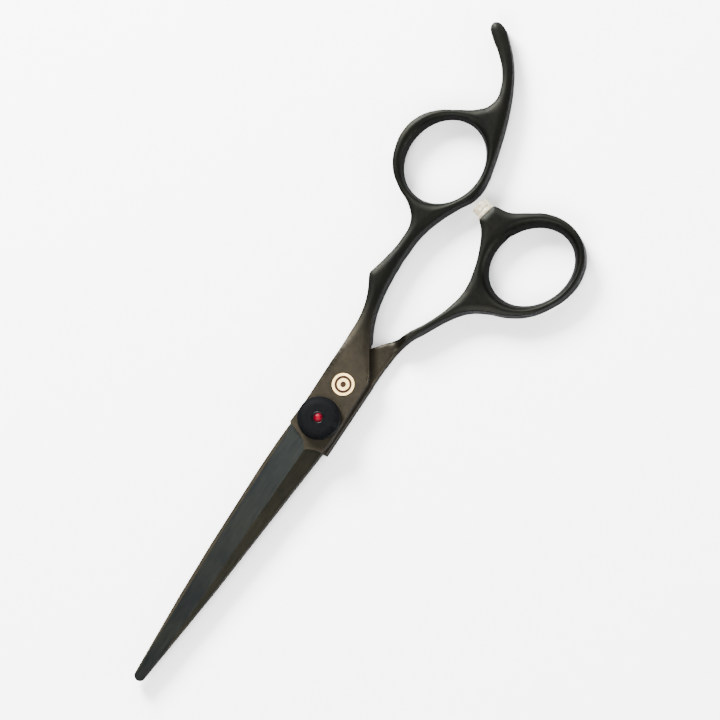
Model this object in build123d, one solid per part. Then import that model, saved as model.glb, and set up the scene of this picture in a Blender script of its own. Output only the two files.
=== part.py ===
from build123d import *
import math
import os

# Hair cutting shears, closed and lying flat. Millimetres.
# Origin: pivot axis where it meets the table. +Y runs to the finger rings, -Y to the blade
# tips, +X to the thumb side and +Z up, through the tension dial.

# ---- overall sizes -------------------------------------------------------------------------
BLADE_REACH = 74.0           # pivot axis to the blade tips
HANDLE_REACH = 79.0          # pivot axis to the far side of the finger ring, without the rest
HALF_THICKNESS = 3.0         # one half at the pivot
RIDE_GAP = 0.1               # air between the two inner faces, held open by the bearing washer
WELD_Y = 13.2                # where each forged blade is welded to its cast handle

# ---- blades --------------------------------------------------------------------------------
RIDGE_DROP = 0.12            # ridge below the flat of the pivot pad at the heel
RIDGE_HEIGHT_TOE = 1.4       # ridge above the inner face at the toe
EDGE_HEIGHT = 0.3            # steel left above the inner face at the heel of the edge
SPINE_HEIGHT = 2.2           # height of the back of the blade at the heel
TIP_ROUND = 0.5              # corner radius at the very tip

# ---- handles -------------------------------------------------------------------------------
FINGER_HOLE = ((-9.97, 66.33), 11.33, 9.75, 82.6)   # centre, half length, half width, turn in degrees
THUMB_HOLE = ((21.13, 56.74), 11.84, 9.84, 63.7)
FINGER_BULGE = 0.9           # how far each hole closes in at mid-thickness
THUMB_BULGE = 1.4
HANDLE_ROUND = 0.6           # rounding along the handle edges

# ---- pivot ---------------------------------------------------------------------------------
BOLT_HEAD_R = 3.9
BOLT_HEAD_T = 0.98
BOLT_SLOT = 0.8
BOLT_SLOT_DEPTH = 0.45
SHOULDER_R = 2.3             # round shoulder that the thumb half turns on
NECK_FLATS = 3.8             # across the two flats that key the bolt to the finger half
THREAD_R = 1.5
THREAD_PITCH = 0.5
THREAD_CLEARANCE = 0.05
RUN_CLEARANCE = 0.03         # radial, for what turns
FACE_CLEARANCE = 0.02        # between faces that turn on each other
SEAT_CLEARANCE = 0.05        # radial, for what is laid into a recess
BUSH_WALL = 0.9
THRUST_T = 0.3
WASHER_R = 4.4               # bearing washer between the halves
WASHER_T = 0.5
CLICK_PLATE_R = 4.2
CLICK_PLATE_T = 0.5
CLICK_NOTCHES = 24
DIAL_R = 5.1
DIAL_T = 2.3
DIAL_TEETH = 72
DIAL_TOOTH = 0.12            # depth of the coin edge
DIAL_TURN = 0.5              # turns either way from the set position
DIAL_LIFT = 0.05             # dial clear of the pad when fully tightened
DIAL_ROOF = 0.6              # depth of the dial's underside cavity
DIAL_WALL = 0.75
NUT_R = 2.6                  # tension nut, across corners
NUT_T = 0.9
NUT_ROOF = 0.2               # dial left between the nut and the bezel
BEZEL_R = 1.5
BEZEL_WALL = 0.42
BEZEL_BASE = 0.15
BEZEL_PROUD = 0.12
JEWEL_DOME = 0.45
SPRING_T = 0.3

# ---- badge and bumper ----------------------------------------------------------------------
BADGE_R = 2.8
BADGE_T = 0.5
BADGE_PROUD = 0.06
BADGE_Y = 9.7
BADGE_RING_R = 1.42          # inside of the engraved ring
BADGE_RING_WIDTH = 0.66
BADGE_DOT_R = 0.72
BADGE_GROOVE = 0.1           # depth of the engraving
BUMPER_R = 2.2
BUMPER_HEIGHT = 3.0
BUMPER_FLANGE_R = 2.45
BUMPER_FLANGE_T = 0.8
STUD_R = 1.2                 # threaded into the handle
STUD_LENGTH = 4.9
STUD_NECK_R = 0.8            # inside the bumper
STUD_BULB_R = 1.3
STUD_BULB_T = 0.9
BUMPER_SEAT = (5.4, 61.5)    # middle of the flat that the bumper bears on
BUMPER_LEAN = -13.3          # degrees from +X, the way its stem runs into the handle

# ---- levels --------------------------------------------------------------------------------
THUMB_TOP = HALF_THICKNESS
FINGER_BOTTOM = HALF_THICKNESS + RIDE_GAP
FINGER_TOP = FINGER_BOTTOM + HALF_THICKNESS
MID = FINGER_TOP / 2
CLICK_TOP = FINGER_TOP - 0.1
DIAL_TRAVEL = THREAD_PITCH * DIAL_TURN
DIAL_BOTTOM = FINGER_TOP + DIAL_TRAVEL + DIAL_LIFT
DIAL_TOP = DIAL_BOTTOM + DIAL_T
CAVITY_TOP = DIAL_BOTTOM + DIAL_ROOF
CAVITY_R = DIAL_R - DIAL_WALL
DETENT_R = (NUT_R + CAVITY_R) / 2        # circle of the notches and the dimples that click over them
BUSH_R = SHOULDER_R + RUN_CLEARANCE + BUSH_WALL
HEAD_POCKET_DEPTH = BOLT_HEAD_T + THRUST_T + FACE_CLEARANCE
WASHER_FLOOR = FINGER_BOTTOM - FACE_CLEARANCE - WASHER_T
BEZEL_FLOOR = CAVITY_TOP + NUT_T + NUT_ROOF
FAR = 200.0                  # larger than the object, for cutting tools
STANDING = (Align.CENTER, Align.CENTER, Align.MIN)

# Outlines were drawn at these reaches, and stretch with the named ones.
DRAWN_BLADE = 74.0
DRAWN_HANDLE = 79.0


def at_blade(x, y):
    """A blade outline point: what lies beyond the heel stretches with the blade's reach."""
    heel = -8.0
    if y > heel:
        return (x, y)
    return (x, heel + (y - heel) * (BLADE_REACH + heel) / (DRAWN_BLADE + heel))


def at_handle(x, y):
    """A handle outline point: what lies beyond the shoulder stretches with the handle's reach."""
    shoulder = 24.0
    if y < shoulder:
        return (x, y)
    return (x, shoulder + (y - shoulder) * (HANDLE_REACH - shoulder) / (DRAWN_HANDLE - shoulder))


def prism(wires, bottom, top):
    """A plan outline raised from bottom to top."""
    return Pos(0, 0, bottom) * extrude(make_face(wires), top - bottom, dir=(0, 0, 1))


def region(points, bottom=-FAR, top=FAR):
    return prism(Polyline(*points, close=True), bottom, top)


def disc(radius, bottom, top, hole=0.0):
    body = Pos(0, 0, bottom) * Cylinder(radius, top - bottom, align=STANDING)
    if hole:
        body -= Pos(0, 0, bottom) * Cylinder(hole, top - bottom, align=STANDING)
    return body


def neck(clearance, bottom, top):
    """The bolt's two-flat neck, or with a clearance the hole that it keys into."""
    across = NECK_FLATS + 2 * clearance
    flats = Pos(0, 0, bottom) * Box(FAR, across, top - bottom, align=STANDING)
    return disc(SHOULDER_R + clearance, bottom, top) & flats


def above_plane(a, b, c):
    """A large block whose lower face is the plane through three points."""
    a, b, c = Vector(*a), Vector(*b), Vector(*c)
    normal = (b - a).cross(c - a).normalized()
    if normal.Z < 0:
        normal = normal * -1
    plane = Plane(origin=a, z_dir=normal)
    return plane * Box(FAR, FAR, FAR, align=STANDING)


# ---- blades --------------------------------------------------------------------------------
def ground_blade(outline, side, ridge_heel, ridge_toe, edge_heel, spine_heel, runout):
    """A blade lying on its inner face, ground to two facets that meet along the ridge.

    side is -1 when the cutting edge is on -X. runout is where the edge facet ends at the pad.
    """
    blank = prism(outline, 0, HALF_THICKNESS)
    top = HALF_THICKNESS - RIDGE_DROP
    heel, toe = (*ridge_heel, top), (*ridge_toe, RIDGE_HEIGHT_TOE)
    edge_plane = above_plane(heel, toe, (*edge_heel, EDGE_HEIGHT))
    spine_plane = above_plane(heel, toe, (*spine_heel, SPINE_HEIGHT))
    slope = (ridge_toe[0] - ridge_heel[0]) / (ridge_toe[1] - ridge_heel[1])
    end = (ridge_heel[0] + slope * (-FAR - ridge_heel[1]), -FAR)
    corner, bend = runout
    edge_curve = [Line((side * FAR, corner[1] + 0.33 * (FAR - abs(corner[0]))), corner),
                  Line(corner, bend),
                  TangentArc(bend, ridge_heel, tangent=Vector(*bend, 0) - Vector(*corner, 0))]
    edge_side = edge_curve + [Polyline(ridge_heel, end, (side * FAR, -FAR), edge_curve[0] @ 0)]
    hump = (ridge_heel[0] - side * 1.7, ridge_heel[1] + 1.1)
    rise = (ridge_heel[0] - side * 4.4, ridge_heel[1] + 1.6)
    spine_curve = [ThreePointArc(ridge_heel, hump, rise), Line(rise, (-side * FAR, rise[1] + 0.2))]
    spine_side = spine_curve + [Polyline(spine_curve[1] @ 1, (-side * FAR, -FAR), end, ridge_heel)]
    blank -= prism(edge_side, 0, FAR) & edge_plane
    return blank - (prism(spine_side, 0, FAR) & spine_plane)


def finger_blade_outline():
    edge = Spline(at_blade(-5.4, -6.5), at_blade(-5.25, -22), at_blade(-4.6, -48.4), at_blade(-3.3, -72.0))
    tip = ThreePointArc(edge @ 1, at_blade(-2.1, -DRAWN_BLADE), at_blade(-0.9, -72.8))
    spine = Spline(tip @ 1, at_blade(0.4, -60), at_blade(1.75, -46), at_blade(3.35, -24.5),
                   at_blade(4.4, -11), (5.0, -3))
    pad = Polyline(spine @ 1, (4.65, WELD_Y), (-5.45, WELD_Y), (-5.3, 2), (-5.7, -5.0), edge @ 0)
    return [edge, tip, spine, pad]


def thumb_blade_outline():
    edge = Spline(at_blade(3.8, -8.4), at_blade(2.7, -24), at_blade(0.9, -47), at_blade(-1.4, -71.6))
    tip = ThreePointArc(edge @ 1, at_blade(-2.3, -DRAWN_BLADE), at_blade(-3.7, -72.6))
    spine = Spline(tip @ 1, at_blade(-4.55, -61), at_blade(-5.5, -43), at_blade(-6.15, -20),
                   (-6.1, -8), (-5.7, -1))
    pad = Polyline(spine @ 1, (-5.4, WELD_Y), (5.25, WELD_Y), (5.25, -6.9), edge @ 0)
    return [edge, tip, spine, pad]


def finger_blade():
    ridge_heel, ridge_toe = (0.9, -8.0), at_blade(-0.3, -67)
    blade = ground_blade(finger_blade_outline(), -1, ridge_heel, ridge_toe,
                         (-5.4, -6.5), (4.4, -11), ((-5.8, -4.3), (-2.1, -5.5)))
    blade = Pos(0, 0, FINGER_BOTTOM) * blade
    blade -= neck(SEAT_CLEARANCE, FINGER_BOTTOM, FINGER_TOP)
    blade -= disc(CLICK_PLATE_R + SEAT_CLEARANCE, CLICK_TOP - CLICK_PLATE_T, FINGER_TOP)
    return blade - Pos(0, BADGE_Y) * disc(BADGE_R, FINGER_TOP - BADGE_T, FINGER_TOP)


def thumb_blade():
    ridge_heel, ridge_toe = (-2.6, -8.0), at_blade(-3.2, -67)
    blade = ground_blade(thumb_blade_outline(), 1, ridge_heel, ridge_toe,
                         (3.8, -8.4), (-6.1, -11), ((5.4, -6.2), (0.9, -6.9)))
    blade = Pos(0, 0, THUMB_TOP) * mirror(blade, about=Plane.XY)
    blade -= disc(BUSH_R, 0, THUMB_TOP)
    blade -= disc(BOLT_HEAD_R + SEAT_CLEARANCE, 0, HEAD_POCKET_DEPTH)
    return blade - disc(WASHER_R, WASHER_FLOOR, THUMB_TOP)


# ---- handles -------------------------------------------------------------------------------
def hole_cut(centre, half_length, half_width, turn, bulge):
    """An oval finger hole, narrowest at mid-thickness, opening out to both faces."""
    place = Pos(*at_handle(*centre)) * Rot(0, 0, turn)
    rim = place * Ellipse(half_length, half_width)
    throat = Pos(0, 0, MID) * place * Ellipse(half_length - bulge, half_width - bulge)
    return loft([rim, throat], ruled=True) + loft([throat, Pos(0, 0, FINGER_TOP) * rim], ruled=True)


def rounded(outline):
    """A handle outline at full thickness with its curved edges rounded over."""
    block = prism(outline, 0, FINGER_TOP)
    curved = block.edges().filter_by(GeomType.LINE, reverse=True)
    return fillet(curved, HANDLE_ROUND)


def finger_handle_outline():
    shank = Spline((-5.45, WELD_Y), (-5.65, 21.4), at_handle(-6.9, 28.9), at_handle(-9.85, 34.9),
                   tangents=[(0, 1), (-0.55, 1)])
    ring = Spline(shank @ 1, at_handle(-8.3, 41.4), at_handle(-8.6, 50.6), at_handle(-14.5, 54.6),
                  at_handle(-20.6, 60.8), at_handle(-22.1, 67.0), at_handle(-19.1, 74.1),
                  at_handle(-13.4, 78.2), at_handle(-9.2, 81.4), at_handle(-7.75, 85.3),
                  at_handle(-9.9, 90.6), at_handle(-13.7, 94.4), at_handle(-17.4, 97.3))
    back = Spline(at_handle(-16.2, 100.0), at_handle(-10.5, 95.4), at_handle(-5.1, 87.0),
                  at_handle(-1.2, 76.5), at_handle(1.15, 66.8), at_handle(0.2, 61.2),
                  at_handle(-3.0, 55.3), at_handle(-5.1, 48), at_handle(-5.3, 39.5),
                  at_handle(-3.6, 28.2), (-0.2, 20.8), (1.9, 17.7))
    tip = TangentArc(ring @ 1, back @ 0, tangent=ring % 1)
    foot = Polyline(back @ 1, (4.2, 14.2), (4.65, WELD_Y), (-5.45, WELD_Y))
    return [shank, ring, tip, back, foot]


def finger_handle():
    """Full thickness behind the lap, upper half only where it crosses the thumb half."""
    lap = region([(-FAR, 0), (FAR, 0), (FAR, 25.4), (4.0, 25.4), (-3.0, 19.0), (-6.2, 14.2), (-FAR, 14.2)],
                 -FAR, FINGER_BOTTOM)
    return rounded(finger_handle_outline()) - lap - hole_cut(*FINGER_HOLE, FINGER_BULGE)


def thumb_handle_outline():
    lean = math.radians(BUMPER_LEAN + 90)
    seat_middle = Vector(*at_handle(*BUMPER_SEAT), 0)
    along = Vector(math.cos(lean), math.sin(lean), 0)
    low, high = seat_middle - along * BUMPER_FLANGE_R, seat_middle + along * BUMPER_FLANGE_R
    inner = Spline((-5.4, WELD_Y), (-2.9, 17.2), (0.4, 20.8), at_handle(6.0, 28.6), at_handle(9.7, 36.0),
                   at_handle(11.35, 43.2), at_handle(9.2, 52.4), low)
    seat = Line(inner @ 1, high)
    ring = Spline(seat @ 1, at_handle(9.9, 64.4), at_handle(15.6, 68.0), at_handle(22.6, 69.8),
                  at_handle(29.0, 67.1), at_handle(32.3, 59.7), at_handle(30.0, 51.0),
                  at_handle(24.2, 44.5), at_handle(15.8, 40.4), at_handle(10.4, 33.5),
                  at_handle(7.2, 27.6), (5.85, 23.2))
    foot = Polyline(ring @ 1, (5.25, WELD_Y), inner @ 0)
    return [inner, seat, ring, foot]


def thumb_handle():
    """Full thickness behind the lap, lower half only where it crosses under the finger half."""
    handle = rounded(thumb_handle_outline())
    lap = [(-FAR, 0), (FAR, 0), (FAR, 16.3), (11.6, 16.3), (0.6, 29.13), (-FAR, 29.13)]
    handle -= region(lap, THUMB_TOP, FAR)
    ramp = above_plane((6.2, 22.6, THUMB_TOP), (3.8, 25.4, THUMB_TOP), (6.97, 25.7, FINGER_TOP + 0.05))
    handle -= ramp & region([(-FAR, 0), (FAR, 0), (FAR, 34), (-FAR, 34)], THUMB_TOP, FAR)
    handle -= hole_cut(*THUMB_HOLE, THUMB_BULGE)
    stud_way = Cylinder(STUD_R, 12.0, align=(Align.CENTER, Align.CENTER, Align.MAX))
    return handle - bumper_frame() * stud_way


def bumper_frame():
    """Where the bumper's stem enters the handle: +Z runs out of the seat towards the finger ring."""
    lean = math.radians(BUMPER_LEAN)
    return Plane(origin=(*at_handle(*BUMPER_SEAT), MID), z_dir=(-math.cos(lean), -math.sin(lean), 0))


def bumper_stud():
    """A threaded stud with a slotted inner end; its bulb holds the moulded bumper."""
    bulb = BUMPER_HEIGHT - 0.8
    profile = Polyline((0, -STUD_LENGTH), (STUD_R - 0.2, -STUD_LENGTH), (STUD_R, 0.2 - STUD_LENGTH),
                       (STUD_R, 0), (STUD_NECK_R, 0), (STUD_NECK_R, bulb - STUD_BULB_T),
                       (STUD_BULB_R, bulb - STUD_BULB_T + 0.2), (STUD_BULB_R, bulb - 0.3),
                       (STUD_NECK_R, bulb), (0, bulb), close=True)
    stud = revolve(Plane.XZ * make_face(profile), Axis.Z)
    slot = Pos(0, 0, -STUD_LENGTH) * Box(4 * STUD_R, 0.4, 1.0)
    return bumper_frame() * (stud - slot)


def bumper():
    """Moulded round the stud: a flange on the seat, a waist and a chamfered head."""
    profile = Polyline((0, 0), (BUMPER_FLANGE_R, 0), (BUMPER_FLANGE_R, BUMPER_FLANGE_T),
                       (BUMPER_R - 0.25, BUMPER_FLANGE_T + 0.35), (BUMPER_R, BUMPER_HEIGHT - 0.6),
                       (BUMPER_R - 0.5, BUMPER_HEIGHT), (0, BUMPER_HEIGHT), close=True)
    return bumper_frame() * revolve(Plane.XZ * make_face(profile), Axis.Z) - bumper_stud()


# ---- pivot ---------------------------------------------------------------------------------
def pivot_bolt():
    bolt = disc(BOLT_HEAD_R, 0, BOLT_HEAD_T) + disc(SHOULDER_R, BOLT_HEAD_T, FINGER_BOTTOM)
    bolt += neck(0, FINGER_BOTTOM, CLICK_TOP)
    bolt += disc(THREAD_R, CLICK_TOP, CAVITY_TOP + NUT_T - DIAL_TRAVEL - THREAD_CLEARANCE)
    return bolt - Box(FAR, BOLT_SLOT, 2 * BOLT_SLOT_DEPTH)


def thrust_washer():
    return disc(BOLT_HEAD_R - 0.1, BOLT_HEAD_T, BOLT_HEAD_T + THRUST_T, SHOULDER_R + SEAT_CLEARANCE)


def pivot_bush():
    return disc(BUSH_R, HEAD_POCKET_DEPTH, WASHER_FLOOR, SHOULDER_R + RUN_CLEARANCE)


def bearing_washer():
    return disc(WASHER_R, WASHER_FLOOR, WASHER_FLOOR + WASHER_T, SHOULDER_R + SEAT_CLEARANCE)


def click_plate():
    """A detent plate keyed to the bolt's neck, with a ring of shallow notches."""
    plate = disc(CLICK_PLATE_R, CLICK_TOP - CLICK_PLATE_T, CLICK_TOP) - neck(SEAT_CLEARANCE, 0, FAR)
    notch = Pos(DETENT_R, 0, CLICK_TOP) * Box(1.0, 0.32, 0.3)
    return plate - [Rot(0, 0, 360 * i / CLICK_NOTCHES) * notch for i in range(CLICK_NOTCHES)]


def click_spring():
    """A flat ring under the dial with three dimples that ride over the notches."""
    ring = disc(CAVITY_R - 0.15, CAVITY_TOP - SPRING_T, CAVITY_TOP, NUT_R + 0.1)
    low = CLICK_TOP + DIAL_TRAVEL + DIAL_LIFT
    dimple = Pos(DETENT_R, 0) * disc(0.35, low, CAVITY_TOP - SPRING_T)
    return ring + [Rot(0, 0, 120 * i) * dimple for i in range(3)]


def spring_washer():
    """A dished washer under the nut that keeps the thread loaded; it rises and falls but doesn't turn."""
    low, high = CLICK_TOP + DIAL_TRAVEL + DIAL_LIFT, CAVITY_TOP - FACE_CLEARANCE
    inner, outer = THREAD_R + 0.1, NUT_R - 0.2
    profile = Polyline((inner, high - 0.2), (inner, high), (outer, low + 0.2), (outer, low), close=True)
    return revolve(Plane.XZ * make_face(profile), Axis.Z)


def dial():
    """A cap with a coin edge. Its cavity holds the spring and nut, and its top the bezel."""
    step = math.pi / DIAL_TEETH
    rim = []
    for i in range(2 * DIAL_TEETH):
        radius = DIAL_R - DIAL_TOOTH * (i % 2)
        rim.append((radius * math.cos(i * step), radius * math.sin(i * step)))
    body = region(rim, DIAL_BOTTOM, DIAL_TOP)
    crown = Polyline((0, DIAL_BOTTOM), (DIAL_R - 0.15, DIAL_BOTTOM), (DIAL_R + 0.1, DIAL_BOTTOM + 0.25),
                     (DIAL_R + 0.1, DIAL_TOP - 0.35), (DIAL_R - 0.2, DIAL_TOP - 0.05),
                     (BEZEL_R + 0.3, DIAL_TOP), (0, DIAL_TOP), close=True)
    body &= revolve(Plane.XZ * make_face(crown), Axis.Z)
    body -= disc(CAVITY_R, DIAL_BOTTOM, CAVITY_TOP)
    body -= prism(RegularPolygon(NUT_R, 6).edges(), CAVITY_TOP, CAVITY_TOP + NUT_T)
    return body - disc(BEZEL_R, BEZEL_FLOOR, DIAL_TOP)


def tension_nut():
    nut = prism(RegularPolygon(NUT_R, 6).edges(), CAVITY_TOP, CAVITY_TOP + NUT_T)
    return nut - disc(THREAD_R + RUN_CLEARANCE, 0, FAR)


def jewel_bezel():
    cup = disc(BEZEL_R, BEZEL_FLOOR, DIAL_TOP + BEZEL_PROUD)
    return cup - disc(BEZEL_R - BEZEL_WALL, BEZEL_FLOOR + BEZEL_BASE, FAR)


def jewel():
    """A round cabochon set in the bezel."""
    radius = BEZEL_R - BEZEL_WALL
    crown = (radius**2 + JEWEL_DOME**2) / (2 * JEWEL_DOME)
    stone = disc(radius, BEZEL_FLOOR + BEZEL_BASE, DIAL_TOP + JEWEL_DOME)
    return stone & Pos(0, 0, DIAL_TOP + JEWEL_DOME - crown) * Sphere(crown)


def badge():
    """A round inlay with one engraved ring and a centre dot."""
    top = FINGER_TOP + BADGE_PROUD
    plate = disc(BADGE_R, FINGER_TOP - BADGE_T, top)
    plate -= disc(BADGE_RING_R + BADGE_RING_WIDTH, top - BADGE_GROOVE, top, BADGE_RING_R)
    plate -= disc(BADGE_DOT_R, top - BADGE_GROOVE, top)
    return Pos(0, BADGE_Y) * plate


PIECES = [finger_blade, finger_handle, thumb_blade, thumb_handle, pivot_bolt, thrust_washer, pivot_bush,
          bearing_washer, click_plate, click_spring, spring_washer, dial, tension_nut, jewel_bezel, jewel,
          badge, bumper, bumper_stud]

os.makedirs("parts", exist_ok=True)
for piece in PIECES:
    export_step(Compound(children=piece().solids()), f"parts/{piece.__name__}.step")
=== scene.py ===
# Hair cutting shears lying closed on a table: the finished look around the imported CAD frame.
import bpy
import bmesh
import math
from mathutils import Matrix, Vector
from mathutils.kdtree import KDTree


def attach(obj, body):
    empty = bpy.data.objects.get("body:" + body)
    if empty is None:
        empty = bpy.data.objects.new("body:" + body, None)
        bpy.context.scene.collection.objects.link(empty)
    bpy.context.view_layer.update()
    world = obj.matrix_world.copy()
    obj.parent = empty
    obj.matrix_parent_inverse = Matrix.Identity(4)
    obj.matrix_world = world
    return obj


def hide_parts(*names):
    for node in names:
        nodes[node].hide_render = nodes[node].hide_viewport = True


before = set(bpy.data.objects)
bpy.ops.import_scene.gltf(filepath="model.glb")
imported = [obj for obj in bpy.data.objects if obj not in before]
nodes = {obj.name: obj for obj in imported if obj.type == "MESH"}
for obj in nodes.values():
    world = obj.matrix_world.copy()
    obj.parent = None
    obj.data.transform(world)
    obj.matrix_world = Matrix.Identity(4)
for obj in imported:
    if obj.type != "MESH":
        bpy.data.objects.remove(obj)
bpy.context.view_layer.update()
mm = 0.001
seamY = 13.2            # millimetres along the shears to the weld of blade and handle


# Small helpers

def atWeld(vert):
    return abs(vert.co.y - seamY * mm) < 0.02 * mm


def linear(hexColour):
    # a colour picker's hex value as linear light, with full alpha
    channels = [int(hexColour[i:i + 2], 16) / 255 for i in (1, 3, 5)]
    return tuple(c / 12.92 if c <= 0.04045 else ((c + 0.055) / 1.055) ** 2.4 for c in channels) + (1.0,)


def smoothStep(low, high, value):
    t = min(max((value - low) / (high - low), 0.0), 1.0)
    return t * t * (3 - 2 * t)


def newObject(name, bm):
    # hands the finished bmesh over to a new object at the origin
    mesh = bpy.data.meshes.new(name)
    bm.to_mesh(mesh)
    bm.free()
    obj = bpy.data.objects.new(name, mesh)
    bpy.context.scene.collection.objects.link(obj)
    return obj


def settle(obj, body, slot, finishes, *replaced):
    # last step for a piece: smooth shading, finish, body and the CAD nodes it stands for
    for polygon in obj.data.polygons:
        polygon.use_smooth = True
    for material in finishes:
        obj.data.materials.append(material)
    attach(obj, body)
    if replaced:
        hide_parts(*replaced)
    return obj


def applyModifiers(obj):
    # the evaluated mesh takes the place of the modifier stack
    bpy.context.view_layer.update()
    shape = bpy.data.meshes.new_from_object(obj.evaluated_get(bpy.context.evaluated_depsgraph_get()))
    obj.modifiers.clear()
    old = obj.data
    obj.data = shape
    bpy.data.meshes.remove(old)


def cutAway(obj, cutter):
    # boolean difference, after which the cutter is thrown away
    cut = obj.modifiers.new("cut", "BOOLEAN")
    cut.operation = "DIFFERENCE"
    cut.solver = "EXACT"
    cut.object = cutter
    applyModifiers(obj)
    bpy.data.objects.remove(cutter)


def outlineEdges(runs):
    # a closed plan curve in millimetres: every run starts at a corner and stays smooth up to the next one
    curve = bpy.data.curves.new("outline", "CURVE")
    curve.dimensions = "2D"
    curve.resolution_u = 10
    spline = curve.splines.new("BEZIER")
    points = [(x, y, i == 0) for run in runs for i, (x, y) in enumerate(run)]
    spline.bezier_points.add(len(points) - 1)
    for knot, (x, y, corner) in zip(spline.bezier_points, points):
        knot.co = (x * mm, y * mm, 0)
        knot.handle_left_type = knot.handle_right_type = "VECTOR" if corner else "AUTO"
    spline.use_cyclic_u = True
    holder = bpy.data.objects.new("outline", curve)
    bpy.context.scene.collection.objects.link(holder)
    bpy.context.view_layer.update()
    mesh = bpy.data.meshes.new_from_object(holder)
    bpy.data.objects.remove(holder)
    bm = bmesh.new()
    bm.from_mesh(mesh)
    bpy.data.meshes.remove(mesh)
    bmesh.ops.remove_doubles(bm, verts=bm.verts, dist=0.01 * mm)
    return bm


def plate(name, runs, bottom, top):
    # the plan curve filled and raised from bottom to top, in millimetres
    bm = outlineEdges(runs)
    bmesh.ops.triangle_fill(bm, use_beauty=True, edges=bm.edges)
    bmesh.ops.translate(bm, vec=(0, 0, bottom * mm), verts=bm.verts)
    raised = bmesh.ops.extrude_face_region(bm, geom=bm.faces[:])
    topVerts = [g for g in raised["geom"] if isinstance(g, bmesh.types.BMVert)]
    bmesh.ops.translate(bm, vec=(0, 0, (top - bottom) * mm), verts=topVerts)
    bmesh.ops.recalc_face_normals(bm, faces=bm.faces)
    return newObject(name, bm)


def straightPlate(name, corners, bottom, top):
    # a plate whose plan is straight from corner to corner
    return plate(name, [[corner] for corner in corners], bottom, top)


def turned(name, profile, steps=96, place=Matrix.Identity(4)):
    # a lathe shape: the closed profile of (radius, height) in millimetres, spun round Z
    bm = bmesh.new()
    verts = [bm.verts.new((radius * mm, 0, height * mm)) for radius, height in profile]
    edges = [bm.edges.new((verts[i], verts[(i + 1) % len(verts)])) for i in range(len(verts))]
    bmesh.ops.spin(bm, geom=verts + edges, cent=(0, 0, 0), axis=(0, 0, 1), angle=2 * math.pi,
                   steps=steps, use_merge=True)
    bmesh.ops.remove_doubles(bm, verts=bm.verts, dist=0.002 * mm)
    bmesh.ops.dissolve_degenerate(bm, dist=0.001 * mm, edges=bm.edges)
    bmesh.ops.recalc_face_normals(bm, faces=bm.faces)
    bmesh.ops.transform(bm, matrix=place, verts=bm.verts)
    return newObject(name, bm)


def roundLips(bm, width, segments=2, sharperThan=28):
    # breaks every sharp edge, as a stone or a tumbler does, but leaves the weld flush
    sharp = [e for e in bm.edges if len(e.link_faces) == 2 and e.calc_face_angle() > math.radians(sharperThan)
             and not all(atWeld(v) for v in e.verts)]
    bmesh.ops.bevel(bm, geom=sharp, offset=width * mm, offset_type="OFFSET", segments=segments, profile=0.5,
                    affect="EDGES", clamp_overlap=True, material=-1)


def dressedCopy(name, node, width):
    # the CAD shape with its loose triangles merged and its edges broken
    bm = bmesh.new()
    bm.from_mesh(nodes[node].data)
    bmesh.ops.remove_doubles(bm, verts=bm.verts, dist=0.002 * mm)
    bmesh.ops.dissolve_limit(bm, angle_limit=math.radians(1), verts=bm.verts, edges=bm.edges)
    roundLips(bm, width)
    for edge in bm.edges:
        edge.smooth = not all(atWeld(v) for v in edge.verts)
    return newObject(name, bm)


# Finishes

def addNode(tree, kind, values=None, links=None, **settings):
    # one shader node with its settings, its socket values and what feeds it
    node = tree.nodes.new("ShaderNode" + kind)
    for name, value in settings.items():
        setattr(node, name, value)
    for socket, value in (values or {}).items():
        node.inputs[socket].default_value = value
    for socket, source in (links or {}).items():
        tree.links.new(source, node.inputs[socket])
    return node


def newFinish(name, **values):
    # a Principled finish with its constants on the shader, and Object coordinates to draw with
    material = bpy.data.materials.new(name)
    material.use_nodes = True
    tree = material.node_tree
    shader = tree.nodes["Principled BSDF"]
    for socket, value in values.items():
        shader.inputs[socket.replace("_", " ")].default_value = value
    coords = addNode(tree, "TexCoord").outputs["Object"]
    return material, tree, shader, coords


def perMillimetre(spacing):
    # texture scale for features this many millimetres apart, on coordinates in metres
    return 1 / (spacing * mm)


coatSpec = {
    "padSheenColour": "#2c2820",      # flat of the pivot: the coat's brownish tone, painted lighter as a sheen where the flat faces the light
    "armColour": "#11110e",      # arms and rings
    "deepColour": "#0a0c0d",     # cooler, where the coat is thicker
    "padEnds": 14, "armStarts": 31,      # millimetres along the shears, where the painted sheen of the pad fades into the arm colour
    "mottle": 5.0, "grain": 0.35,        # millimetres
    "scuffColour": "#0d0d0c",    # file marks along the left edge of the pad
    "scuffs": 0.34, "scuffTurn": 0.95,   # millimetres apart, and radians from across the shears
    "scuffEdge": (-5.3, -3.9), "scuffRun": (8.5, 21.5), "scuffAbove": 5.9,
    "roughness": (0.36, 0.5),
}


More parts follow.
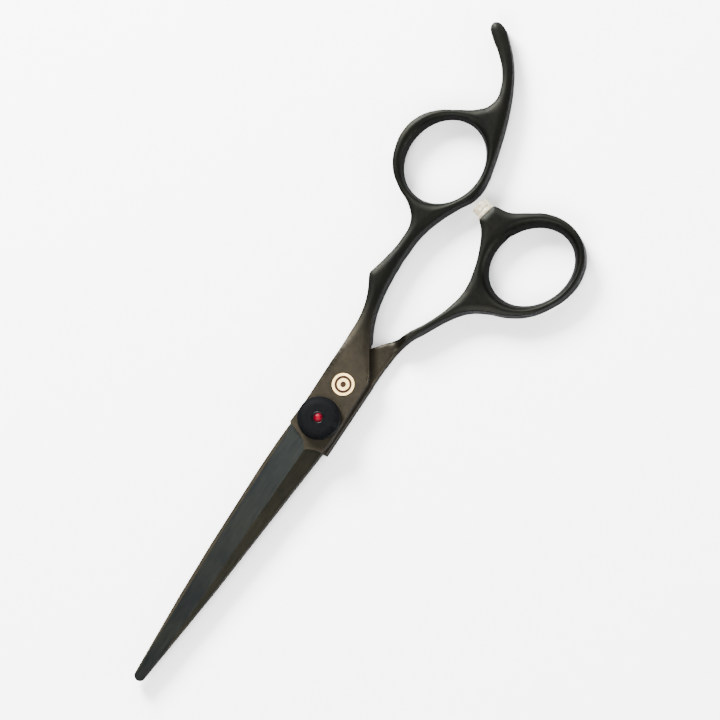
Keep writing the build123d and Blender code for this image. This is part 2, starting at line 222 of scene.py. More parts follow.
def scuffShare(tree, coords):
    # where the file marks lie: slanting streaks near the top that fade away from the pad's left edge
    spec = coatSpec
    places = addNode(tree, "SeparateXYZ", links={0: coords})
    outer, inner = spec["scuffEdge"]
    low, high = spec["scuffRun"]
    nearEdge = addNode(tree, "MapRange", {1: inner * mm, 2: outer * mm},
                       {0: places.outputs["X"]}).outputs[0]
    above = addNode(tree, "MapRange", {1: low * mm, 2: (low + 2) * mm}, {0: places.outputs["Y"]}).outputs[0]
    below = addNode(tree, "MapRange", {1: high * mm, 2: (high - 3) * mm},
                    {0: places.outputs["Y"]}).outputs[0]
    height = addNode(tree, "Math", {1: spec["scuffAbove"] * mm}, {0: places.outputs["Z"]},
                     operation="GREATER_THAN").outputs[0]
    slanted = addNode(tree, "Mapping", {"Scale": (0.12, 1, 1), "Rotation": (0, 0, spec["scuffTurn"])},
                      {"Vector": coords}).outputs[0]
    streaks = addNode(tree, "TexNoise", {"Scale": perMillimetre(spec["scuffs"]), "Detail": 3,
                                         "Roughness": 0.6},
                      {"Vector": slanted}).outputs[0]
    share = addNode(tree, "MapRange", {1: 0.4, 2: 0.56}, {0: streaks}).outputs[0]
    for mask in (nearEdge, above, below, height):
        share = addNode(tree, "Math", links={0: share, 1: mask}, operation="MULTIPLY").outputs[0]
    return share


def satinBlackCoat():
    # Vapour-coated steel, bead blasted before coating: a dark satin film that gives soft broad highlights, a
    # faint cloudiness and a very fine grain. The flat of the pivot is painted lighter and browner, a painted
    # sheen.
    spec = coatSpec
    material, tree, shader, coords = newFinish("satinBlackCoat", Metallic=0.85, Specular_IOR_Level=0.3,
                                               Specular_Tint=linear("#70747a"))
    along = addNode(tree, "SeparateXYZ", links={0: coords}).outputs["Y"]
    # painted sheen: the flat pad is painted lighter and browner, fading along the shears into the darker arm
    # colour
    toArm = addNode(tree, "MapRange", {1: spec["padEnds"] * mm, 2: spec["armStarts"] * mm}, {0: along},
                    interpolation_type="SMOOTHSTEP").outputs[0]
    toArmBack = addNode(tree, "Mix", {6: linear(spec["padSheenColour"]), 7: linear(spec["armColour"])},
                        {0: toArm},
                        data_type="RGBA").outputs[2]
    mottle = addNode(tree, "TexNoise", {"Scale": perMillimetre(spec["mottle"]), "Detail": 4,
                                        "Roughness": 0.6},
                     {"Vector": coords}).outputs[0]
    mottleShare = addNode(tree, "MapRange", {1: 0.35, 2: 0.75, 3: 0.0, 4: 0.4}, {0: mottle}).outputs[0]
    tone = addNode(tree, "Mix", {7: linear(spec["deepColour"])}, {0: mottleShare, 6: toArmBack},
                   data_type="RGBA").outputs[2]
    scuffed = addNode(tree, "Mix", {7: linear(spec["scuffColour"])}, {0: scuffShare(tree, coords), 6: tone},
                      data_type="RGBA").outputs[2]
    tree.links.new(scuffed, shader.inputs["Base Color"])
    grain = addNode(tree, "TexNoise", {"Scale": perMillimetre(spec["grain"]), "Detail": 3,
                                       "Roughness": 0.55},
                    {"Vector": coords}).outputs[0]
    low, high = spec["roughness"]
    rough = addNode(tree, "MapRange", {1: 0.3, 2: 0.7, 3: low, 4: high}, {0: grain}).outputs[0]
    tree.links.new(rough, shader.inputs["Roughness"])
    bump = addNode(tree, "Bump", {"Strength": 0.25, "Distance": 0.008 * mm}, {"Height": grain})
    tree.links.new(bump.outputs[0], shader.inputs["Normal"])
    return material


groundSpec = {
    "lineSpacing": 0.16,         # across the grinding lines; real ones are about 0.02
    "lineLength": 6.0,
    "roughness": (0.3, 0.46),
}


def groundBlackFacet(name, dark, light):
    # Blade faces ground lengthwise on a fine wheel and then coated: a smoother, cooler black with faint
    # straight lines that stretch the highlights along the blade.
    spec = groundSpec
    material, tree, shader, coords = newFinish(name, Metallic=0.9, Specular_IOR_Level=0.3,
                                               Specular_Tint=linear("#70747a"))
    stretched = addNode(tree, "Mapping", {"Scale": (1, spec["lineSpacing"] / spec["lineLength"], 1)},
                        {"Vector": coords}).outputs[0]
    lines = addNode(tree, "TexNoise", {"Scale": perMillimetre(spec["lineSpacing"]), "Detail": 3,
                                       "Roughness": 0.7},
                    {"Vector": stretched}).outputs[0]
    cloud = addNode(tree, "TexNoise", {"Scale": perMillimetre(9.0), "Detail": 3},
                    {"Vector": coords}).outputs[0]
    blend = addNode(tree, "Math", links={0: lines, 1: cloud}, operation="MULTIPLY").outputs[0]
    share = addNode(tree, "MapRange", {1: 0.15, 2: 0.4}, {0: blend}).outputs[0]
    tone = addNode(tree, "Mix", {6: linear(dark), 7: linear(light)}, {0: share},
                   data_type="RGBA").outputs[2]
    tree.links.new(tone, shader.inputs["Base Color"])
    low, high = spec["roughness"]
    rough = addNode(tree, "MapRange", {1: 0.3, 2: 0.7, 3: low, 4: high}, {0: lines}).outputs[0]
    tree.links.new(rough, shader.inputs["Roughness"])
    bump = addNode(tree, "Bump", {"Strength": 0.2, "Distance": 0.004 * mm}, {"Height": lines})
    tree.links.new(bump.outputs[0], shader.inputs["Normal"])
    return material


def turnedMetal(name, dark, light, roughness, spacing=0.12, metallic=1.0, specular=0.5):
    # Turned or stamped metal: tool marks in rings about the pivot axis catch the light as fine circles.
    # On the stud, which lies well off that axis, the same rings pass as faint, nearly straight lines.
    material, tree, shader, coords = newFinish(name, Metallic=metallic, Specular_IOR_Level=specular)
    flat = addNode(tree, "Mapping", {"Scale": (1, 1, 0)}, {"Vector": coords}).outputs[0]
    radius = addNode(tree, "VectorMath", links={0: flat}, operation="LENGTH").outputs["Value"]
    rings = addNode(tree, "TexNoise", {"Scale": perMillimetre(spacing), "Detail": 3, "Roughness": 0.6},
                    {"W": radius},
                    noise_dimensions="1D").outputs[0]
    grain = addNode(tree, "TexNoise", {"Scale": perMillimetre(0.5), "Detail": 4},
                    {"Vector": coords}).outputs[0]
    both = addNode(tree, "Math", {1: 0.5}, {0: addNode(tree, "Math",
                                                       links={0: rings, 1: grain}).outputs[0]},
                   operation="MULTIPLY").outputs[0]
    share = addNode(tree, "MapRange", {1: 0.35, 2: 0.65}, {0: both}).outputs[0]
    tone = addNode(tree, "Mix", {6: linear(dark), 7: linear(light)}, {0: share},
                   data_type="RGBA").outputs[2]
    tree.links.new(tone, shader.inputs["Base Color"])
    rough = addNode(tree, "MapRange", {1: 0.3, 2: 0.7, 3: roughness * 0.85, 4: roughness * 1.2},
                    {0: both}).outputs[0]
    tree.links.new(rough, shader.inputs["Roughness"])
    bump = addNode(tree, "Bump", {"Strength": 0.25, "Distance": 0.005 * mm}, {"Height": both})
    tree.links.new(bump.outputs[0], shader.inputs["Normal"])
    return material


def clearSilicone():
    # Moulded silicone rubber: clear with a warm milky body, glossy, with faint moulding haze.
    material, tree, shader, coords = newFinish("clearSilicone", Roughness=0.06, IOR=1.5,
                                               Transmission_Weight=0.6, Coat_Weight=0.3,
                                               Coat_Roughness=0.05)
    haze = addNode(tree, "TexNoise", {"Scale": perMillimetre(0.9), "Detail": 4},
                   {"Vector": coords}).outputs[0]
    share = addNode(tree, "MapRange", {1: 0.35, 2: 0.7}, {0: haze}).outputs[0]
    tone = addNode(tree, "Mix", {6: linear("#e6dabc"), 7: linear("#b7ac8e")}, {0: share},
                   data_type="RGBA").outputs[2]
    tree.links.new(tone, shader.inputs["Base Color"])
    bump = addNode(tree, "Bump", {"Strength": 0.15, "Distance": 0.02 * mm}, {"Height": haze})
    tree.links.new(bump.outputs[0], shader.inputs["Normal"])
    return material


def redGlass():
    # Polished red glass stone: a darker rim of painted shade and a brighter heart painted where light would
    # shine through the stone. The real one is glossier; here the gloss is kept low, because wide softboxes
    # would wash so small a stone out to pink.
    material, tree, shader, coords = newFinish("redGlass", Roughness=0.3, IOR=1.52, Specular_IOR_Level=0.04)
    flat = addNode(tree, "Mapping", {"Scale": (1, 1, 0)}, {"Vector": coords}).outputs[0]
    radius = addNode(tree, "VectorMath", links={0: flat}, operation="LENGTH").outputs["Value"]
    heartWobble = addNode(tree, "TexNoise", {"Scale": perMillimetre(0.6), "Detail": 2},
                    {"Vector": coords}).outputs[0]
    wander = addNode(tree, "MapRange", {1: 0.3, 2: 0.7, 3: -0.25 * mm, 4: 0.25 * mm}, {0: heartWobble}).outputs[0]
    bent = addNode(tree, "Math", links={0: radius, 1: wander}).outputs[0]
    # lighter in the middle and darker at the rim: painted glow of light through the stone and painted shade,
    # with a wobbly boundary
    share = addNode(tree, "MapRange", {1: 0.25 * mm, 2: 1.1 * mm}, {0: bent},
                    interpolation_type="SMOOTHSTEP").outputs[0]
    tone = addNode(tree, "Mix", {6: linear("#5a0010"), 7: linear("#260006")}, {0: share},
                   data_type="RGBA").outputs[2]
    tree.links.new(tone, shader.inputs["Base Color"])
    return material


def satinGold():
    # Pale gold plate, lightly brushed one way: warm, almost cream, and softly reflective. It is only
    # partly metallic here, so that its colour stays even.
    material, tree, shader, coords = newFinish("satinGold", Metallic=0.35)
    brushed = addNode(tree, "Mapping", {"Scale": (0.05, 1, 1), "Rotation": (0, 0, 0.6)},
                      {"Vector": coords}).outputs[0]
    lines = addNode(tree, "TexNoise", {"Scale": perMillimetre(0.12), "Detail": 3},
                    {"Vector": brushed}).outputs[0]
    share = addNode(tree, "MapRange", {1: 0.3, 2: 0.7}, {0: lines}).outputs[0]
    tone = addNode(tree, "Mix", {6: linear("#e4bd6e"), 7: linear("#f2d290")}, {0: share},
                   data_type="RGBA").outputs[2]
    tree.links.new(tone, shader.inputs["Base Color"])
    rough = addNode(tree, "MapRange", {1: 0.3, 2: 0.7, 3: 0.3, 4: 0.45}, {0: lines}).outputs[0]
    tree.links.new(rough, shader.inputs["Roughness"])
    return material


def enamelFill(name, dark, light, roughness, specular=0.5):
    # Fired enamel or moulded polymer: an even colour with faint clouding and a soft gloss.
    material, tree, shader, coords = newFinish(name, Roughness=roughness, Specular_IOR_Level=specular)
    cloud = addNode(tree, "TexNoise", {"Scale": perMillimetre(0.7), "Detail": 4},
                    {"Vector": coords}).outputs[0]
    tone = addNode(tree, "Mix", {6: linear(dark), 7: linear(light)}, {0: cloud},
                   data_type="RGBA").outputs[2]
    tree.links.new(tone, shader.inputs["Base Color"])
    bump = addNode(tree, "Bump", {"Strength": 0.2, "Distance": 0.005 * mm}, {"Height": cloud})
    tree.links.new(bump.outputs[0], shader.inputs["Normal"])
    return material


print("shears: finishes")
blackCoat = satinBlackCoat()
# two copies of one ground finish: the wide facet's copy is darker as painted shade, the spine's copy lighter
# as painted light
shadedBlackFacet = groundBlackFacet("groundBlackFacet", "#121414", "#181916")
litBlackSpine = groundBlackFacet("groundBlackSpineLit", "#151511", "#1b1a14")
dialAnodised = turnedMetal("blackAnodisedDial", "#040405", "#08090a", 0.62, metallic=0.0, specular=0.018)
blackBolt = turnedMetal("blackOxideBolt", "#1b1c1e", "#2a2b2d", 0.35)
bezelGloss = enamelFill("glossBlackBezel", "#030304", "#070708", 0.3, specular=0.08)
springSteel = turnedMetal("stampedSpringSteel", "#a9aaac", "#c9cacc", 0.28)
turnedBronze = turnedMetal("turnedBronze", "#a8793f", "#cf9f5c", 0.3)
whitePolymer = enamelFill("whiteBearingPolymer", "#dcdcd6", "#efefe9", 0.45)
studSteel = turnedMetal("studSteel", "#77787a", "#98999b", 0.2)
goldPlate = satinGold()
# dark enamel of the badge's mark, also used as the painted shadow round the badge's rim
markAndShadowRimEnamel = enamelFill("brownMarkAndShadowRim", "#1c110c", "#261812", 0.5, specular=0.05)
siliconeClear = clearSilicone()
ruby = redGlass()


# Handles

thickness = 6.1
halfTop = 3.0
lapFloor = 3.1
farOut = 60

fingerSpec = {
    "outline": [
        [(-5.4, 8.5), (-5.5, 13.2), (-5.65, 19.5), (-6.0, 25.4), (-7.3, 30.1)],
        [(-9.85, 34.8), (-8.7, 39.6), (-7.95, 45.0), (-8.5, 50.2), (-11.2, 53.2), (-15.4, 55.3),
         (-19.2, 58.4),
         (-21.5, 63.0), (-22.05, 67.4), (-20.9, 71.6), (-18.1, 75.2), (-13.8, 78.1), (-9.9, 80.7),
         (-7.9, 83.8),
         (-8.1, 87.0), (-10.1, 90.9), (-13.5, 94.3), (-16.9, 96.8), (-18.6, 98.7), (-18.2, 100.2),
         (-16.3, 100.4),
         (-13.0, 98.0), (-9.4, 94.2), (-6.3, 89.3), (-3.8, 83.9), (-1.7, 78.0), (0.1, 71.8), (1.15, 66.6),
         (0.7, 62.6), (-1.3, 58.9), (-3.5, 54.0), (-5.0, 48.8), (-5.4, 43.0), (-5.2, 37.5), (-4.4, 31.3),
         (-2.8, 25.8), (-0.2, 21.0), (2.2, 17.3), (3.9, 14.7), (4.55, 13.2)],
        [(4.65, 8.5)],
    ],
    "lap": [(-farOut, 0), (farOut, 0), (farOut, 25.4), (4.0, 25.4), (-3.0, 19.0), (-6.2, 14.2),
            (-farOut, 14.2)],
    "lapBetween": (-5, lapFloor),
    "hole": {"centre": (-9.97, 66.33), "half": (11.33, 9.75), "turn": 82.6, "throat": 0.915},
    "restStarts": 80, "restEnds": 100, "restThinner": 0.24,
    "blendAt": (-8.4, 84.0), "blendWithin": 3.0,
}
thumbSpec = {
    "outline": [
        [(-5.4, 8.5), (-5.4, 13.2), (-2.9, 17.2), (0.3, 20.8), (3.3, 24.6), (6.0, 28.6), (8.6, 33.3),
         (10.6, 38.7),
         (11.35, 43.2), (10.5, 48.6), (8.7, 53.6), (6.6, 57.4)],
        [(4.84, 59.12)],
        [(5.96, 63.88), (9.9, 64.4), (13.6, 66.6), (17.8, 69.0), (22.6, 69.8), (26.8, 68.7), (30.4, 65.6),
         (32.2, 61.0), (32.0, 55.9), (30.0, 51.0), (26.8, 46.7), (22.6, 43.7), (18.2, 41.9), (14.4, 39.5),
         (11.4, 35.6), (8.9, 30.9), (6.8, 26.6), (5.85, 22.6), (5.4, 18.6), (5.25, 13.2)],
        [(5.25, 8.5)],
    ],
    "lap": [(-farOut, 0), (farOut, 0), (farOut, 16.3), (11.6, 16.3), (0.6, 29.13), (-farOut, 29.13)],
    "lapBetween": (halfTop, 20),
    "rampLine": ((6.2, 22.6, 3.0), (3.8, 25.4, 3.0), (6.97, 25.7, 6.15)), "rampEnds": 34,
    "hole": {"centre": (21.13, 56.74), "half": (11.84, 9.84), "turn": 63.7, "throat": 0.869},
    "restStarts": 200, "restEnds": 201, "restThinner": 0.0,
    "blendAt": (6.0, 24.9), "blendWithin": 3.6,
}
softSpec = {
    "grid": 0.27,            # millimetres between mesh points on a handle
    "clearPasses": 3,        # smoothing that only clears the grid's steps
    "blendPasses": 30,       # extra smoothing where a form runs out into the next
    "roundPasses": 8,        # more smoothing, which rounds the edges away from the weld
    "roundFrom": 14.0, "roundBy": 21.0,   # millimetres along the shears
    "crown": 0.26,           # how far the faces fall away towards their edges
    "crownWidth": 1.7,
}


def holeSpindle(hole):
    # the cutter of a finger hole: an oval, narrowest at mid-thickness
    half = thickness / 2
    over = 1.0
    wide = hole["throat"] + (1 - hole["throat"]) * (half + over) / half
    bm = bmesh.new()
    for side in (1, -1):
        ends = (hole["throat"], wide) if side > 0 else (wide, hole["throat"])
        lift = Matrix.Translation((0, 0, side * (half + over) / 2))
        bmesh.ops.create_cone(bm, cap_ends=True, segments=144, radius1=ends[0], radius2=ends[1],
                              depth=half + over, matrix=lift)
    long, short = hole["half"]
    x, y = hole["centre"]
    bmesh.ops.scale(bm, vec=(long * mm, short * mm, mm), verts=bm.verts)
    bmesh.ops.rotate(bm, cent=(0, 0, 0), matrix=Matrix.Rotation(math.radians(hole["turn"]), 3, "Z"),
                     verts=bm.verts)
    bmesh.ops.translate(bm, vec=(x * mm, y * mm, half * mm), verts=bm.verts)
    bmesh.ops.remove_doubles(bm, verts=bm.verts, dist=0.001 * mm)
    inside = [f for f in bm.faces
              if len(f.verts) > 4 and abs(f.calc_center_median().z - half * mm) < 0.01 * mm]
    bmesh.ops.delete(bm, geom=inside, context="FACES_ONLY")
    bmesh.ops.recalc_face_normals(bm, faces=bm.faces)
    return newObject("holeSpindle", bm)


def softHandle(obj, spec):
    # remeshed to an even skin, thinned towards the rest, rounded, crowned and cut square at the weld
    skin = obj.modifiers.new("skin", "REMESH")
    skin.mode = "VOXEL"
    skin.voxel_size = softSpec["grid"] * mm
    applyModifiers(obj)
    bm = bmesh.new()
    bm.from_mesh(obj.data)
    middle = thickness / 2 * mm
    for v in bm.verts:
        thinner = spec["restThinner"] * smoothStep(spec["restStarts"] * mm, spec["restEnds"] * mm, v.co.y)
        v.co.z = middle + (v.co.z - middle) * (1 - thinner)
    axes = {"use_axis_x": True, "use_axis_y": True, "use_axis_z": True}
    for step in range(softSpec["clearPasses"]):
        bmesh.ops.smooth_vert(bm, verts=bm.verts, factor=0.5, **axes)
    reach = {v: smoothStep(softSpec["roundFrom"] * mm, softSpec["roundBy"] * mm, v.co.y) for v in bm.verts}
    for step in range(softSpec["roundPasses"]):
        share = (step + 0.5) / softSpec["roundPasses"]
        bmesh.ops.smooth_vert(bm, verts=[v for v in bm.verts if reach[v] > share], factor=0.5, **axes)
    bm.normal_update()
    # each face falls away towards the walls that reach up, or down, to it
    for side in (1, -1):
        walls = [v for v in bm.verts if abs(v.normal.z) < 0.5 and (v.co.z - middle) * side > 0.45 * middle]
        tree = KDTree(len(walls))
        for i, v in enumerate(walls):
            tree.insert((v.co.x, v.co.y, 0), i)
        tree.balance()
        for v in [v for v in bm.verts
                  if v.normal.z * side >= 0.5 and (v.co.z - middle) * side > 0.45 * middle]:
            inset = tree.find((v.co.x, v.co.y, 0))[2]
            fall = 1 - smoothStep(0, softSpec["crownWidth"] * mm, inset)
            v.co.z -= side * softSpec["crown"] * mm * fall * reach[v]
    blend = [v for v in bm.verts
             if (v.co.xy - Vector(spec["blendAt"]) * mm).length < spec["blendWithin"] * mm]
    for step in range(softSpec["blendPasses"]):
        bmesh.ops.smooth_vert(bm, verts=blend, factor=0.5, **axes)
    for step in range(softSpec["clearPasses"]):
        bmesh.ops.smooth_vert(bm, verts=[v for v in bm.verts if reach[v] > 0], factor=0.5, **axes)
    bmesh.ops.bisect_plane(bm, geom=bm.verts[:] + bm.edges[:] + bm.faces[:], dist=0.0001 * mm,
                           plane_co=(0, seamY * mm, 0), plane_no=(0, 1, 0), clear_inner=True)
    rim = [e for e in bm.edges if e.is_boundary]
    bmesh.ops.triangle_fill(bm, use_beauty=True, edges=rim)
    for edge in rim:
        edge.smooth = False      # the weld face meets the skin square
    bmesh.ops.recalc_face_normals(bm, faces=bm.faces)
    bm.to_mesh(obj.data)
    bm.free()


def fingerHandle():
    handle = plate("fingerHandleCoated", fingerSpec["outline"], 0, thickness)
    cutAway(handle, straightPlate("lap", fingerSpec["lap"], *fingerSpec["lapBetween"]))
    cutAway(handle, holeSpindle(fingerSpec["hole"]))
    softHandle(handle, fingerSpec)
    return settle(handle, "finger_half", "black_handle", [blackCoat], "finger_handle")


def rampBlock(corners):
    # a block lying on the sloping plane through three points
    a, b, c = (Vector(p) * mm for p in corners)
    normal = (b - a).cross(c - a).normalized()
    if normal.z < 0:
        normal.negate()
    bm = bmesh.new()
    size = 2 * farOut * mm
    turn = normal.to_track_quat("Z", "Y").to_matrix().to_4x4()
    bmesh.ops.create_cube(bm, size=size, matrix=Matrix.Translation(a + normal * size / 2) @ turn)
    bmesh.ops.bisect_plane(bm, geom=bm.verts[:] + bm.edges[:] + bm.faces[:], dist=0.0001 * mm,
                           plane_co=(0, thumbSpec["rampEnds"] * mm, 0), plane_no=(0, 1, 0),
                           clear_outer=True)
    bmesh.ops.bisect_plane(bm, geom=bm.verts[:] + bm.edges[:] + bm.faces[:], dist=0.0001 * mm,
                           plane_co=(0, 0, halfTop * mm), plane_no=(0, 0, 1), clear_inner=True)
    bmesh.ops.holes_fill(bm, edges=[e for e in bm.edges if e.is_boundary], sides=0)
    bmesh.ops.recalc_face_normals(bm, faces=bm.faces)
    return newObject("ramp", bm)


bumperSpec = {
    "seat": (5.4, 61.5),         # middle of the flat it bears on
    "lean": -13.3,               # degrees from +X, the way its stem runs into the handle
    "stemRadius": 1.2, "stemWay": 12.0,
}


def bumperPlace():
    # +Z runs out of the seat towards the finger ring
    lean = math.radians(bumperSpec["lean"])
    out = Vector((-math.cos(lean), -math.sin(lean), 0))
    x, y = bumperSpec["seat"]
    turn = Matrix((Vector((0, 0, 1)).cross(out), Vector((0, 0, 1)), out)).transposed().to_4x4()
    return Matrix.Translation((x * mm, y * mm, thickness / 2 * mm)) @ turn


def stemBore():
    bm = bmesh.new()
    length = bumperSpec["stemWay"] * mm
    radius = bumperSpec["stemRadius"] * mm
    into = Matrix.Translation((0, 0, -length / 2 + 0.5 * mm))
    bmesh.ops.create_cone(bm, cap_ends=True, segments=48, radius1=radius, radius2=radius, depth=length,
                          matrix=bumperPlace() @ into)
    bmesh.ops.recalc_face_normals(bm, faces=bm.faces)
    return newObject("stemBore", bm)


def keepBoreCrisp(obj):
    # the mouths of the bore and the weld face stay sharp under smooth shading
    toBore = bumperPlace().inverted()
    reach = (bumperSpec["stemRadius"] + 0.1) * mm
    bm = bmesh.new()
    bm.from_mesh(obj.data)
    for edge in bm.edges:
        atBore = all((toBore @ v.co).xy.length < reach for v in edge.verts)
        kept = atBore or all(atWeld(v) for v in edge.verts)
        if kept and len(edge.link_faces) == 2 and edge.calc_face_angle() > math.radians(35):
            edge.smooth = False
    bm.to_mesh(obj.data)
    bm.free()


def thumbHandle():
    handle = plate("thumbHandleCoated", thumbSpec["outline"], 0, thickness)
    cutAway(handle, straightPlate("lap", thumbSpec["lap"], *thumbSpec["lapBetween"]))
    cutAway(handle, rampBlock(thumbSpec["rampLine"]))
    cutAway(handle, holeSpindle(thumbSpec["hole"]))
    softHandle(handle, thumbSpec)
    cutAway(handle, stemBore())
    keepBoreCrisp(handle)
    return settle(handle, "thumb_half", "black_handle", [blackCoat], "thumb_handle")


print("shears: handles")
fingerHandle()
thumbHandle()


# Blades: the ground faces get their own finish, a darker copy as painted shade on the wide facet and a
# lighter copy as painted light on the spine; everything else the satin coat

bladeSpec = {
    "edgeBreak": 0.07,                           # millimetres
    "facetTilt": 2.0, "spineTilt": 18.0,         # degrees off level
    "steepest": 0.5,                             # upward share of a face's normal; steeper ones are walls
    "facetsEnd": -4,                             # millimetres along the shears, where the pad begins
}


def coatedBlade(name, node, body, frontUp):
    blade = dressedCopy(name, node, bladeSpec["edgeBreak"])
    settle(blade, body, "black_blade", [blackCoat, shadedBlackFacet, litBlackSpine], node)
    level = math.cos(math.radians(bladeSpec["facetTilt"]))
    gentle = math.cos(math.radians(bladeSpec["spineTilt"]))
    # the steeper wide facet gets the copy painted darker (painted shade), the flatter spine the copy painted
    # lighter (painted light)
    for polygon in blade.data.polygons:
        z = polygon.normal.z if frontUp else -polygon.normal.z
        if bladeSpec["steepest"] < z < level and polygon.center.y < bladeSpec["facetsEnd"] * mm:
            polygon.material_index = 2 if z > gentle else 1
    weighted = blade.modifiers.new("flatFaces", "WEIGHTED_NORMAL")
    weighted.keep_sharp = True
    return blade


print("shears: blades")
coatedBlade("fingerBladeGround", "finger_blade", "finger_half", True)
coatedBlade("thumbBladeGround", "thumb_blade", "thumb_half", False)


# Pivot, dial and badge

dialSpec = {
    "teeth": 72, "toothDepth": 0.24, "toothFrom": 5.0, "rimFrom": 4.95,
    "outline": [(0, 7.9), (2.65, 7.9), (2.65, 7.0), (4.35, 7.0), (4.35, 6.4), (4.9, 6.4), (5.02, 6.48),
                (5.1, 6.62),
                (5.1, 8.4), (5.08, 8.5), (5.0, 8.58), (4.88, 8.62), (3.0, 8.68), (1.75, 8.7), (1.6, 8.7),
                (1.53, 8.66), (1.5, 8.58), (1.5, 8.1), (0, 8.1)],
}


def tensionDial():
    dial = turned("tensionDial", dialSpec["outline"], steps=2 * dialSpec["teeth"])
    step = math.pi / dialSpec["teeth"]
    for v in dial.data.vertices:
        radius = math.hypot(v.co.x, v.co.y)
        if radius > dialSpec["toothFrom"] * mm and round(math.atan2(v.co.y, v.co.x) / step) % 2:
            shrink = 1 - dialSpec["toothDepth"] * mm / radius
            v.co.x *= shrink
            v.co.y *= shrink
    settle(dial, "tension_dial", "black_fitting", [dialAnodised], "dial")
    for polygon in dial.data.polygons:
        rimFace = math.hypot(polygon.center.x, polygon.center.y) > dialSpec["rimFrom"] * mm
        polygon.use_smooth = not rimFace      # crisp teeth
    return dial


def jewelBezel():
    profile = [(0, 8.1), (1.47, 8.1), (1.5, 8.2), (1.5, 8.66), (1.46, 8.75), (1.38, 8.805), (1.28, 8.82),
               (1.18, 8.79),
               (1.11, 8.72), (1.09, 8.6), (1.09, 8.25), (0, 8.25)]
    bezel = turned("jewelBezelGloss", profile, steps=64)
    return settle(bezel, "tension_dial", "black_fitting", [bezelGloss], "jewel_bezel")


def redJewel():
    radius, girdle, crown = 1.08, 8.72, 9.15
    rise = crown - girdle
    ball = (radius ** 2 + rise ** 2) / (2 * rise)
    arc = [(radius * i / 8, crown - ball + math.sqrt(ball ** 2 - (radius * i / 8) ** 2)) for i in range(9)]
    stone = turned("redJewelStone", arc + [(radius, 8.4), (0.8, 8.26), (0, 8.26)], steps=64)
    return settle(stone, "tension_dial", "red_stone", [ruby], "jewel")


badgeSpec = {"centreY": 9.7, "radius": 2.68, "ringRadius": 1.42, "ringWidth": 0.66, "dotRadius": 0.72,
             "paintedShadowRim": 0.2,
             "top": 6.16}


def goldBadge():
    # an inlay with a filled ring and a centre dot, and a dark painted shadow round its outer edge
    s = badgeSpec
    deep = s["top"] - 0.1
    ring, dot, top = s["ringRadius"], s["dotRadius"], s["top"]
    profile = [(0, 5.6), (s["radius"], 5.6), (s["radius"], top - 0.05), (s["radius"] - 0.05, top),
               (s["radius"] - s["paintedShadowRim"], top),
               (ring + s["ringWidth"], top), (ring + s["ringWidth"] - 0.02, deep), (ring + 0.02, deep),
               (ring, top),
               (dot, top), (dot - 0.02, deep), (0, deep)]
    badge = turned("goldBadge", profile, steps=96, place=Matrix.Translation((0, s["centreY"] * mm, 0)))
    settle(badge, "finger_half", "gold_inlay", [goldPlate, markAndShadowRimEnamel], "badge")
    for polygon in badge.data.polygons:
        fromMiddle = math.hypot(polygon.center.x, polygon.center.y - s["centreY"] * mm)
        inMark = polygon.center.z < (deep + 0.02) * mm and polygon.normal.z > 0.9
        # the outer rim is painted dark: a painted shadow of the gap round the inlay
        inPaintedShadowRim = fromMiddle > (s["radius"] - 0.5 * s["paintedShadowRim"]) * mm
        if inMark or inPaintedShadowRim:
            polygon.material_index = 1
    for polygon in badge.data.polygons:
        polygon.use_smooth = abs(polygon.normal.z) < 0.9
    return badge


print("shears: pivot, dial and badge")
tensionDial()
jewelBezel()
redJewel()
goldBadge()
settle(dressedCopy("pivotBoltBlack", "pivot_bolt", 0.1), "finger_half", "black_fitting", [blackBolt],
       "pivot_bolt")


# Bumper

def thumbBumper():
    # moulded with a flange on the seat, a waist and a soft rounded head
    profile = [(0.86, 0), (2.38, 0), (2.45, 0.08), (2.45, 0.62), (2.36, 0.76), (2.08, 0.86), (1.96, 1.0),
               (1.96, 1.14),
               (2.08, 1.3), (2.16, 1.5), (2.2, 2.3), (2.2, 2.68), (2.12, 2.86), (1.92, 2.97), (0, 3.0),
               (0, 2.32),
               (0.8, 2.3), (1.34, 1.95), (1.34, 1.4), (0.86, 1.2)]
    bumper = turned("thumbBumperClear", profile, steps=64, place=bumperPlace())
    return settle(bumper, "thumb_half", "clear_bumper", [siliconeClear], "bumper")


print("shears: bumper")
thumbBumper()
settle(dressedCopy("bumperStudSteel", "bumper_stud", 0.06), "thumb_half", "steel", [studSteel],
       "bumper_stud")


# Hidden working parts keep their CAD shape and get their own finishes

for name, finish in (("thrust_washer", springSteel), ("click_plate", springSteel),
                     ("click_spring", springSteel),
                     ("spring_washer", springSteel), ("tension_nut", springSteel),
                     ("pivot_bush", turnedBronze),
                     ("bearing_washer", whitePolymer)):
    nodes[name].data.materials.clear()
    nodes[name].data.materials.append(finish)


# Studio

studioSpec = {
    "floorColour": "#fbfbfa", "floorMottle": "#f4f4f2",
    "worldColour": "#f2f4f6", "worldStrength": 0.52,
    "lookAt": (-0.338, 16.678, 4.0), "distance": 1600.0, "width": 167.5,
    "toCamera": (0.21, -0.042), "up": (-0.5624, 0.8269), "sensor": 36,
}


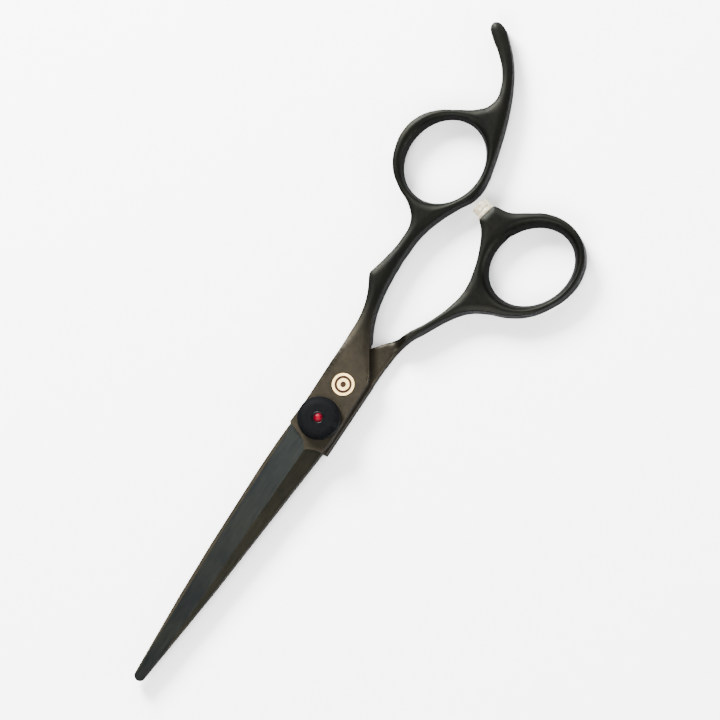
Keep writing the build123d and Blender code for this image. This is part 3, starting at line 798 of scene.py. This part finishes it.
def tableTop():
    # Matte white painted board: even and shadow-catching, with a barely visible mottle.
    bm = bmesh.new()
    bmesh.ops.create_grid(bm, x_segments=1, y_segments=1, size=3.0)
    floor = newObject("tableTop", bm)
    material, tree, shader, coords = newFinish("mattePaintedBoard", Roughness=0.75)
    mottle = addNode(tree, "TexNoise", {"Scale": perMillimetre(3.0), "Detail": 4},
                     {"Vector": coords}).outputs[0]
    tone = addNode(tree, "Mix", {6: linear(studioSpec["floorColour"]),
                                 7: linear(studioSpec["floorMottle"])},
                   {0: mottle}, data_type="RGBA").outputs[2]
    tree.links.new(tone, shader.inputs["Base Color"])
    floor.data.materials.append(material)


def softLight(name, place, size, power):
    # a white square softbox in millimetres, aimed at the middle of the shears
    light = bpy.data.lights.new(name, "AREA")
    light.size = size * mm
    light.energy = power
    holder = bpy.data.objects.new(name, light)
    bpy.context.scene.collection.objects.link(holder)
    position = Vector(place) * mm
    aim = Vector(studioSpec["lookAt"]) * mm - position
    holder.matrix_world = Matrix.Translation(position) @ aim.to_track_quat("-Z", "Y").to_matrix().to_4x4()


def camera():
    s = studioSpec
    x, y = s["toCamera"]
    back = Vector((x, y, math.sqrt(1 - x * x - y * y)))
    right = Vector((*s["up"], 0)).cross(back).normalized()
    holder = bpy.data.objects.new("camera", bpy.data.cameras.new("camera"))
    bpy.context.scene.collection.objects.link(holder)
    turn = Matrix((right, back.cross(right), back)).transposed().to_4x4()
    holder.matrix_world = Matrix.Translation((Vector(s["lookAt"]) + back * s["distance"]) * mm) @ turn
    holder.data.sensor_width = s["sensor"]
    holder.data.lens = s["sensor"] * s["distance"] / s["width"]
    bpy.context.scene.camera = holder


def studioAir():
    world = bpy.data.worlds.new("studioAir")
    world.use_nodes = True
    background = world.node_tree.nodes["Background"]
    background.inputs["Color"].default_value = linear(studioSpec["worldColour"])
    background.inputs["Strength"].default_value = studioSpec["worldStrength"]
    bpy.context.scene.world = world


print("shears: studio")
tableTop()
softLight("leftSoftbox", (-505, 280, 420), 290, 37)
softLight("farSoftbox", (-120, 560, 420), 420, 6)
softLight("tipSoftbox", (90, -360, 580), 420, 12)
softLight("rightSoftbox", (600, 200, 240), 380, 9)
camera()
studioAir()
